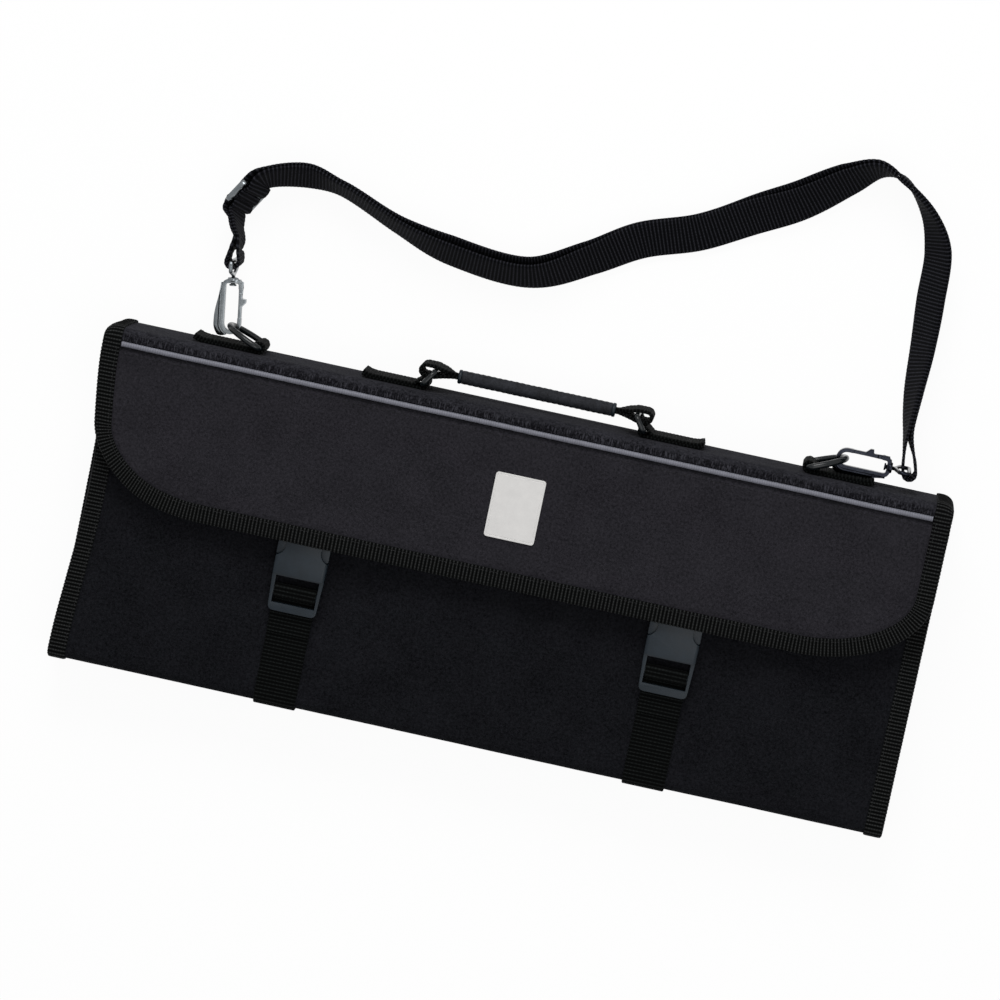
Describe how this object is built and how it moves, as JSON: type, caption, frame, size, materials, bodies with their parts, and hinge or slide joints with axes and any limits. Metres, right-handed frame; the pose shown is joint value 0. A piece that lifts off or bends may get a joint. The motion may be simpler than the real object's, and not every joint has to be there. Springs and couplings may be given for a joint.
{
  "type": "hard chef knife case",
  "caption": "Flat hard-sided knife case with a bound front flap, two side-release buckles, a grip handle and a clip-on shoulder strap.",
  "frame": {"origin": "on the table under the middle of the case, handle and hooks; the case lies on its back", "axes": "+X along the case's length to the right, +Y from the bottom edge to the spine and strap, +Z out of the front"},
  "size_m": [0.508, 0.3957, 0.052],
  "materials": {
    "case_cloth": "matt woven cloth over a stiff board",
    "flap_cloth": "matt woven cloth over a padded board",
    "ribbed_tape": "ribbed binding tape with a slight sheen",
    "piping": "pale satin piping",
    "label": "plain pale soft plate",
    "buckle_plastic": "satin moulded plastic",
    "ring_plastic": "smooth moulded plastic",
    "hook_metal": "smooth dark moulded body with bright highlights",
    "grip_rubber": "soft grip tube",
    "elastic": "ribbed elastic",
    "webbing": "cross-ribbed webbing"
  },
  "bodies": {
    "case": {"back_board": "case_cloth", "bottom_board": "case_cloth", "spine_board": "case_cloth", "front_panel": "case_cloth", "front_lip_tape": "ribbed_tape", "end_wall_left": "case_cloth", "end_tape_left": "ribbed_tape", "end_wall_right": "case_cloth", "end_tape_right": "ribbed_tape", "buckle_socket_left": "buckle_plastic", "buckle_strap_left": "webbing", "buckle_socket_right": "buckle_plastic", "buckle_strap_right": "webbing", "handle_tab_left": "webbing", "ring_tab_left": "webbing", "handle_tab_right": "webbing", "ring_tab_right": "webbing", "hook_left": "hook_metal", "hook_right": "hook_metal", "strap_slider": "buckle_plastic", "shoulder_strap": "webbing", "strap_leg": "webbing", "knife_band_left": "elastic", "knife_band_right": "elastic"},
    "flap": {"flap_panel": "flap_cloth", "flap_tape": "ribbed_tape", "welt_piping": "piping", "label_plate": "label", "buckle_plug_left": "buckle_plastic", "buckle_plug_right": "buckle_plastic", "plug_tab_left": "webbing", "plug_tab_right": "webbing"},
    "handle": {"handle_webbing": "webbing", "handle_grip": "grip_rubber"},
    "prong_left_outer_body": {"prong_left_outer": "buckle_plastic"},
    "prong_left_inner_body": {"prong_left_inner": "buckle_plastic"},
    "handle_ring_left_body": {"handle_ring_left": "ring_plastic"},
    "strap_ring_left_body": {"strap_ring_left": "ring_plastic"},
    "hook_gate_left_body": {"hook_gate_left": "hook_metal"},
    "hook_eye_left_body": {"hook_eye_left": "hook_metal"},
    "prong_right_outer_body": {"prong_right_outer": "buckle_plastic"},
    "prong_right_inner_body": {"prong_right_inner": "buckle_plastic"},
    "handle_ring_right_body": {"handle_ring_right": "ring_plastic"},
    "strap_ring_right_body": {"strap_ring_right": "ring_plastic"},
    "hook_gate_right_body": {"hook_gate_right": "hook_metal"},
    "hook_eye_right_body": {"hook_eye_right": "hook_metal"}
  },
  "joints": [
    {"name": "flap_hinge", "type": "hinge", "parent": "case", "child": "flap", "pos_m": [0, 0.06747, 0.0513], "axis": [-1, 0, 0], "range_deg": [0, 180]},
    {"name": "prong_left_outer_squeeze", "type": "slide", "parent": "flap", "child": "prong_left_outer_body", "axis": [1, 0, 0], "range_m": [0, 0.003], "stiffness_N_per_m": 600},
    {"name": "prong_left_inner_squeeze", "type": "slide", "parent": "flap", "child": "prong_left_inner_body", "axis": [-1, 0, 0], "range_m": [0, 0.003], "stiffness_N_per_m": 600},
    {"name": "prong_right_outer_squeeze", "type": "slide", "parent": "flap", "child": "prong_right_outer_body", "axis": [-1, 0, 0], "range_m": [0, 0.003], "stiffness_N_per_m": 600},
    {"name": "prong_right_inner_squeeze", "type": "slide", "parent": "flap", "child": "prong_right_inner_body", "axis": [1, 0, 0], "range_m": [0, 0.003], "stiffness_N_per_m": 600},
    {"name": "handle_lift", "type": "slide", "parent": "case", "child": "handle", "axis": [0, 1, 0], "range_m": [0, 0.0017]},
    {"name": "handle_ring_left_swing", "type": "hinge", "parent": "case", "child": "handle_ring_left_body", "pos_m": [-0.0665, 0.08017, 0.0254], "axis": [0, 0, 1], "range_deg": [0, 34]},
    {"name": "strap_ring_left_swing", "type": "hinge", "parent": "case", "child": "strap_ring_left_body", "pos_m": [-0.1657, 0.08047, 0.0254], "axis": [0, 0, -1], "range_deg": [0, 3.5]},
    {"name": "handle_ring_right_swing", "type": "hinge", "parent": "case", "child": "handle_ring_right_body", "pos_m": [0.0665, 0.08017, 0.0254], "axis": [0, 0, -1], "range_deg": [0, 34]},
    {"name": "strap_ring_right_swing", "type": "hinge", "parent": "case", "child": "strap_ring_right_body", "pos_m": [0.1657, 0.08047, 0.0254], "axis": [0, 0, 1], "range_deg": [0, 1.7]},
    {"name": "hook_gate_left_swing", "type": "hinge", "parent": "case", "child": "hook_gate_left_body", "pos_m": [-0.18416, 0.11161, 0.0254], "axis": [0, 0, -1], "range_deg": [0, 20], "stiffness_Nm_per_rad": 0.02, "springref_deg": -11.46},
    {"name": "hook_eye_left_swivel", "type": "hinge", "parent": "case", "child": "hook_eye_left_body", "pos_m": [-0.18625, 0.0898, 0.0254], "axis": [-0.1392, 0.9903, 0], "range_deg": [-2, 2]},
    {"name": "hook_gate_right_swing", "type": "hinge", "parent": "case", "child": "hook_gate_right_body", "pos_m": [0.2077, 0.09382, 0.0254], "axis": [0, 0, 1], "range_deg": [0, 20], "stiffness_Nm_per_rad": 0.02, "springref_deg": -11.46},
    {"name": "hook_eye_right_swivel", "type": "hinge", "parent": "case", "child": "hook_eye_right_body", "pos_m": [0.1864, 0.08872, 0.0254], "axis": [1, 0, 0], "range_deg": [-2, 2]}
  ],
  "couplings": [
    {"joint": "prong_left_inner_squeeze", "follows": "prong_left_outer_squeeze", "ratio": 1},
    {"joint": "prong_right_inner_squeeze", "follows": "prong_right_outer_squeeze", "ratio": 1},
    {"joint": "handle_ring_left_swing", "follows": "handle_lift", "rad_per_m": 349.06},
    {"joint": "handle_ring_right_swing", "follows": "handle_lift", "rad_per_m": 349.06}
  ]
}
